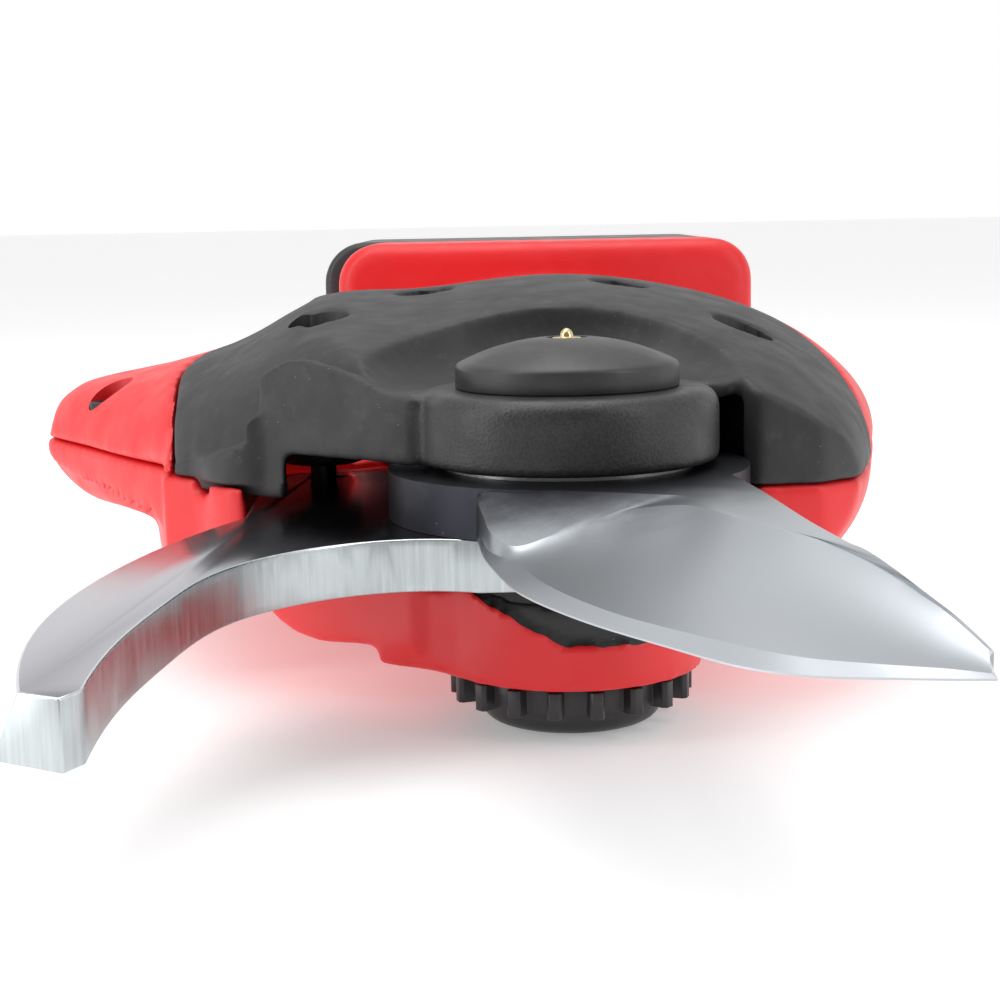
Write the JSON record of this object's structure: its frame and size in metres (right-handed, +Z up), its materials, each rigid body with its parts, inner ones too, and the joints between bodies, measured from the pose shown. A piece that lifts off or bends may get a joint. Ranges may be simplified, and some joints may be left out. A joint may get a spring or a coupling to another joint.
{
  "type": "bypass pruner",
  "caption": "Cordless bypass pruner with a curved blade swinging past a fixed hook, black head cover, red body, finger guard, trigger and rear battery.",
  "frame": {"origin": "middle of the tool's footprint, on the plane that its knob and battery rest on", "axes": "+Y back along the handle towards the battery, +Z up along the blade pivot, blades towards -Y"},
  "size_m": [0.1057, 0.2769, 0.0453],
  "materials": {
    "red_plastic": "satin moulded plastic with a fine grain",
    "black_plastic": "fine grained matte moulding",
    "polished_steel": "ground steel",
    "gear_steel": "machined gear steel",
    "cast_aluminium": "as cast",
    "brass": "turned brass",
    "grip_rubber": "soft grip rubber",
    "blackened_steel": "black oxide",
    "board_green": "board lacquer",
    "copper": "copper",
    "zinc_steel": "zinc plate",
    "lens": "clear lens",
    "cell_wrap": "shrink wrap",
    "knob_plastic": "smooth moulding",
    "trigger_plastic": "smooth moulding",
    "battery_plastic": "fine grained moulding"
  },
  "bodies": {
    "root": {"head_cover": "black_plastic", "upper_shell": "red_plastic", "lower_shell": "red_plastic", "grip_pad_upper": "grip_rubber", "grip_pad_lower": "grip_rubber", "counter_blade": "polished_steel", "pinion_bearing": "gear_steel", "gear_housing": "cast_aluminium", "ring_gear": "gear_steel", "motor_can": "zinc_steel", "motor_stator": "copper", "motor_plate": "cast_aluminium", "motor_screws": "zinc_steel", "pivot_bolt": "gear_steel", "thrust_washer": "brass", "grease_nipple": "brass", "pivot_cap": "black_plastic", "blade_seat": "grip_rubber", "spring_washer": "gear_steel", "cover_screws": "blackened_steel", "housing_screws": "blackened_steel", "trigger_pin": "zinc_steel", "trigger_spring": "gear_steel", "trigger_switch": "knob_plastic", "indicator_lens": "lens", "control_board": "board_green", "contact_block": "knob_plastic"},
    "blade": {"cutting_blade": "polished_steel", "drive_sector": "gear_steel", "sector_pins": "gear_steel", "pivot_bush": "brass"},
    "carrier": {"bevel_pinion": "gear_steel", "planet_carrier": "gear_steel"},
    "planet_1": {"planet_gear_1": "gear_steel"},
    "planet_2": {"planet_gear_2": "gear_steel"},
    "planet_3": {"planet_gear_3": "gear_steel"},
    "rotor": {"motor_rotor": "gear_steel"},
    "knob": {"tension_knob": "knob_plastic"},
    "trigger": {"trigger": "trigger_plastic"},
    "power": {"power_button": "grip_rubber"},
    "battery": {"battery_case": "battery_plastic", "battery_cover": "battery_plastic", "battery_cells": "cell_wrap", "battery_terminals": "copper"},
    "latch": {"battery_latch": "red_plastic"}
  },
  "joints": [
    {"name": "blade_swing", "type": "hinge", "parent": "root", "child": "blade", "pos_m": [0.01275, -0.0685, 0.0234], "axis": [0, 0, -1], "range_deg": [0, 52]},
    {"name": "carrier_spin", "type": "hinge", "parent": "root", "child": "carrier", "pos_m": [0.01275, -0.0385, 0.0222], "axis": [0, 1, 0], "range_deg": [-2, 212]},
    {"name": "planet_1_spin", "type": "hinge", "parent": "carrier", "child": "planet_1", "pos_m": [0.01275, -0.0235, 0.02955], "axis": [0, 1, 0], "range_deg": [-580, 4]},
    {"name": "planet_2_spin", "type": "hinge", "parent": "carrier", "child": "planet_2", "pos_m": [0.00639, -0.0235, 0.01852], "axis": [0, 1, 0], "range_deg": [-580, 4]},
    {"name": "planet_3_spin", "type": "hinge", "parent": "carrier", "child": "planet_3", "pos_m": [0.01912, -0.0235, 0.01852], "axis": [0, 1, 0], "range_deg": [-580, 4]},
    {"name": "rotor_spin", "type": "hinge", "parent": "root", "child": "rotor", "pos_m": [0.01275, 0.0065, 0.0222], "axis": [0, 1, 0], "range_deg": [-4, 980]},
    {"name": "knob_turn", "type": "hinge", "parent": "root", "child": "knob", "pos_m": [0.01275, -0.0685, 0.0027], "axis": [0, 0, 1], "range_deg": [-180, 180]},
    {"name": "trigger_pull", "type": "hinge", "parent": "root", "child": "trigger", "pos_m": [-0.00445, 0.0085, 0.0227], "axis": [0, 0, -1], "range_deg": [0, 5.5], "stiffness_Nm_per_rad": 0.4, "springref_deg": -14.32},
    {"name": "power_press", "type": "slide", "parent": "root", "child": "power", "axis": [0, 0, -1], "range_m": [0, 0.0012], "stiffness_N_per_m": 300, "springref_m": -0.003},
    {"name": "battery_slide", "type": "slide", "parent": "root", "child": "battery", "axis": [0, 1, 0], "range_m": [0, 0.03]},
    {"name": "latch_press", "type": "slide", "parent": "battery", "child": "latch", "axis": [-1, 0, 0], "range_m": [0, 0.0015], "stiffness_N_per_m": 400, "springref_m": -0.003}
  ],
  "couplings": [
    {"joint": "carrier_spin", "follows": "blade_swing", "ratio": 4},
    {"joint": "planet_1_spin", "follows": "blade_swing", "ratio": -11},
    {"joint": "planet_2_spin", "follows": "blade_swing", "ratio": -11},
    {"joint": "planet_3_spin", "follows": "blade_swing", "ratio": -11},
    {"joint": "rotor_spin", "follows": "blade_swing", "ratio": 18.667}
  ]
}
